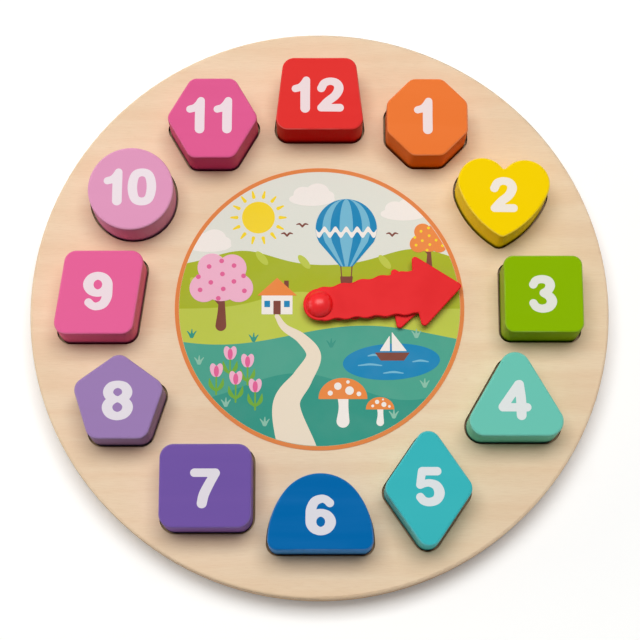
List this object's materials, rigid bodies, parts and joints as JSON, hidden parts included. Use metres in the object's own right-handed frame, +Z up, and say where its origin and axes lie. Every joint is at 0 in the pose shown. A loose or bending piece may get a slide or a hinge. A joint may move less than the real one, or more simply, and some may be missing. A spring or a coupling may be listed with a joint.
{
  "type": "teaching clock",
  "caption": "Round wooden teaching clock with lift-out painted hour blocks in shaped sockets, two geared arrow hands and a printed centre picture.",
  "frame": {"origin": "centre of the underside of the back board, on the table the clock lies on", "axes": "+Z up out of the face, +Y towards the twelve, +X towards the three"},
  "size_m": [0.3, 0.3, 0.038],
  "materials": {
    "paint_octagon": "satin painted wood with a white printed numeral",
    "paint_heart": "satin painted wood with a white printed numeral",
    "paint_square": "satin painted wood with a white printed numeral",
    "paint_triangle": "satin painted wood with a white printed numeral",
    "paint_rhombus": "satin painted wood with a white printed numeral",
    "paint_arch": "satin painted wood with a white printed numeral",
    "paint_rectangle": "satin painted wood with a white printed numeral",
    "paint_pentagon": "satin painted wood with a white printed numeral",
    "paint_parallelogram": "satin painted wood with a white printed numeral",
    "paint_circle": "satin painted wood with a white printed numeral",
    "paint_hexagon": "satin painted wood with a white printed numeral",
    "paint_trapezoid": "satin painted wood with a white printed numeral",
    "birch_face": "clear-coated birch plywood, fine straight grain",
    "birch_core": "clear-coated birch plywood, plies showing on the edge",
    "printed_card": "satin printed film",
    "numeral_ink": "white printed numerals on the blocks",
    "picture_ink": "printed inks of the centre picture",
    "red_plastic": "moulded, satin",
    "cap_plastic": "moulded, soft gloss",
    "gear_plastic": "moulded acetal",
    "bush_plastic": "moulded",
    "cover_plastic": "fine moulded texture",
    "pin_steel": "drawn steel",
    "screw_steel": "zinc-plated",
    "felt": "pressed felt"
  },
  "bodies": {
    "board": {"front_board": "birch_face", "back_board": "birch_core", "picture_label": "printed_card", "pipe_bush": "bush_plastic", "gear_cover": "cover_plastic", "cover_screws": "screw_steel", "idler_pin": "pin_steel", "friction_washer": "felt"},
    "minute": {"minute_hand": "red_plastic", "hand_cap": "cap_plastic", "minute_arbor": "gear_plastic"},
    "hour": {"hour_hand": "red_plastic", "hour_wheel": "gear_plastic"},
    "idler": {"idler_wheel": "gear_plastic"},
    "octagon_block": {"block_01_octagon": "paint_octagon"},
    "heart_block": {"block_02_heart": "paint_heart"},
    "square_block": {"block_03_square": "paint_square"},
    "triangle_block": {"block_04_triangle": "paint_triangle"},
    "rhombus_block": {"block_05_rhombus": "paint_rhombus"},
    "arch_block": {"block_06_arch": "paint_arch"},
    "rectangle_block": {"block_07_rectangle": "paint_rectangle"},
    "pentagon_block": {"block_08_pentagon": "paint_pentagon"},
    "parallelogram_block": {"block_09_parallelogram": "paint_parallelogram"},
    "circle_block": {"block_10_circle": "paint_circle"},
    "hexagon_block": {"block_11_hexagon": "paint_hexagon"},
    "trapezoid_block": {"block_12_trapezoid": "paint_trapezoid"}
  },
  "joints": [
    {"name": "minute_turn", "type": "hinge", "parent": "board", "child": "minute", "pos_m": [0, 0, 0.02], "axis": [0, 0, 1], "continuous": true},
    {"name": "hour_turn", "type": "hinge", "parent": "board", "child": "hour", "pos_m": [0, 0, 0.02], "axis": [0, 0, 1], "continuous": true},
    {"name": "idler_turn", "type": "hinge", "parent": "board", "child": "idler", "pos_m": [0.03025, 0, 0.008], "axis": [0, 0, 1], "continuous": true},
    {"name": "octagon_lift", "type": "slide", "parent": "board", "child": "octagon_block", "axis": [0, 0, 1], "range_m": [0, 0.04]},
    {"name": "heart_lift", "type": "slide", "parent": "board", "child": "heart_block", "axis": [0, 0, 1], "range_m": [0, 0.04]},
    {"name": "square_lift", "type": "slide", "parent": "board", "child": "square_block", "axis": [0, 0, 1], "range_m": [0, 0.04]},
    {"name": "triangle_lift", "type": "slide", "parent": "board", "child": "triangle_block", "axis": [0, 0, 1], "range_m": [0, 0.04]},
    {"name": "rhombus_lift", "type": "slide", "parent": "board", "child": "rhombus_block", "axis": [0, 0, 1], "range_m": [0, 0.04]},
    {"name": "arch_lift", "type": "slide", "parent": "board", "child": "arch_block", "axis": [0, 0, 1], "range_m": [0, 0.04]},
    {"name": "rectangle_lift", "type": "slide", "parent": "board", "child": "rectangle_block", "axis": [0, 0, 1], "range_m": [0, 0.04]},
    {"name": "pentagon_lift", "type": "slide", "parent": "board", "child": "pentagon_block", "axis": [0, 0, 1], "range_m": [0, 0.04]},
    {"name": "parallelogram_lift", "type": "slide", "parent": "board", "child": "parallelogram_block", "axis": [0, 0, 1], "range_m": [0, 0.04]},
    {"name": "circle_lift", "type": "slide", "parent": "board", "child": "circle_block", "axis": [0, 0, 1], "range_m": [0, 0.04]},
    {"name": "hexagon_lift", "type": "slide", "parent": "board", "child": "hexagon_block", "axis": [0, 0, 1], "range_m": [0, 0.04]},
    {"name": "trapezoid_lift", "type": "slide", "parent": "board", "child": "trapezoid_block", "axis": [0, 0, 1], "range_m": [0, 0.04]}
  ],
  "couplings": [
    {"joint": "hour_turn", "follows": "minute_turn", "ratio": 0.083333},
    {"joint": "idler_turn", "follows": "minute_turn", "ratio": -0.33333}
  ]
}
